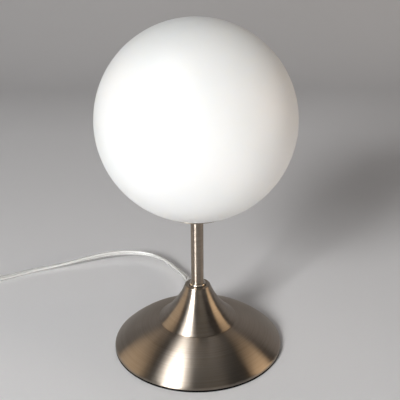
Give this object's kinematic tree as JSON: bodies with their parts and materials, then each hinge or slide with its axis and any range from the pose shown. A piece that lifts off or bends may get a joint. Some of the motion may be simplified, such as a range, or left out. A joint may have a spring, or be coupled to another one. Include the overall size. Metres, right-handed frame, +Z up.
{
  "type": "table lamp",
  "caption": "Table lamp with an opal glass globe on a slim brushed tube, a trumpet cover over a low domed base, and a clear cord with a switch and a plug.",
  "frame": {"origin": "on the resting surface, under the axis of the lamp's tube", "axes": "+Z up along the tube, -Y towards the viewer in the picture, the cord leaves at the back and runs towards -X"},
  "size_m": [0.4219, 0.2282, 0.2654],
  "materials": {
    "opal_glass": "satin, milky white all through",
    "silicone": "translucent soft ring",
    "brushed_nickel": "fine lines round the axis, satin lacquer",
    "spring_steel": "bright rolled strip",
    "zinc_steel": "zinc plated",
    "black_phenolic": "moulded, slightly glossy",
    "white_ceramic": "glazed ceramic",
    "brass": "stamped, bare",
    "core_insulation": "extruded",
    "clear_glass": "blown, clear",
    "cap_aluminium": "rolled thread",
    "black_glass": "fused dark glass",
    "solder": "dull",
    "tungsten": "drawn wire",
    "cast_iron": "sand cast, bare",
    "black_foam": "closed-cell foam, matte",
    "bushing_rubber": "soft moulded, translucent",
    "clear_cord": "clear jacket over two bright cores",
    "white_plastic": "moulded, fine satin",
    "tie_plastic": "soft strip"
  },
  "bodies": {
    "lamp": {"base_nut": "zinc_steel", "base_skirt": "brushed_nickel", "base_washer": "zinc_steel", "base_weight": "cast_iron", "bottom_plate": "zinc_steel", "centre_contact": "brass", "clamp_screws": "zinc_steel", "coil_tie": "tie_plastic", "contact_liner": "brass", "cord_bushing": "bushing_rubber", "cord_clamp": "zinc_steel", "cord_coil": "clear_cord", "cord_to_coil": "clear_cord", "core_live": "core_insulation", "core_neutral": "core_insulation", "foot_pad": "black_foam", "gallery_nut": "zinc_steel", "gallery_springs": "spring_steel", "globe_gallery": "brushed_nickel", "globe_gasket": "silicone", "holder_terminals": "brass", "inner_flex": "clear_cord", "lampholder_cap": "black_phenolic", "lampholder_insert": "white_ceramic", "lampholder_sleeve": "black_phenolic", "mains_cord": "clear_cord", "plate_screws": "zinc_steel", "plug_blades": "brass", "plug_body": "white_plastic", "plug_cord": "clear_cord", "stem_ring_nut": "brushed_nickel", "stem_tube": "brushed_nickel", "switch_blade": "brass", "switch_link_core": "core_insulation", "switch_lower": "white_plastic", "switch_screws": "zinc_steel", "switch_terminals": "brass", "switch_upper": "white_plastic", "terminal_screws": "zinc_steel", "trumpet_cover": "brushed_nickel"},
    "globe": {"glass_globe": "opal_glass"},
    "bulb": {"bulb_envelope": "clear_glass", "bulb_cap": "cap_aluminium", "bulb_insulator": "black_glass", "bulb_button": "solder", "bulb_stem": "clear_glass", "bulb_filament": "tungsten"},
    "rocker": {"switch_rocker": "white_plastic"}
  },
  "joints": [
    {"name": "globe_lift", "type": "slide", "parent": "lamp", "child": "globe", "axis": [0, 0, 1], "range_m": [0, 0.115]},
    {"name": "bulb_turn", "type": "hinge", "parent": "lamp", "child": "bulb", "pos_m": [0, 0, 0.15], "axis": [0, 0, 1], "range_deg": [0, 900]},
    {"name": "switch_rock", "type": "hinge", "parent": "lamp", "child": "rocker", "pos_m": [-0.247, 0.071, 0.0121], "axis": [0.5736, -0.8192, 0], "range_deg": [0, 20]}
  ]
}
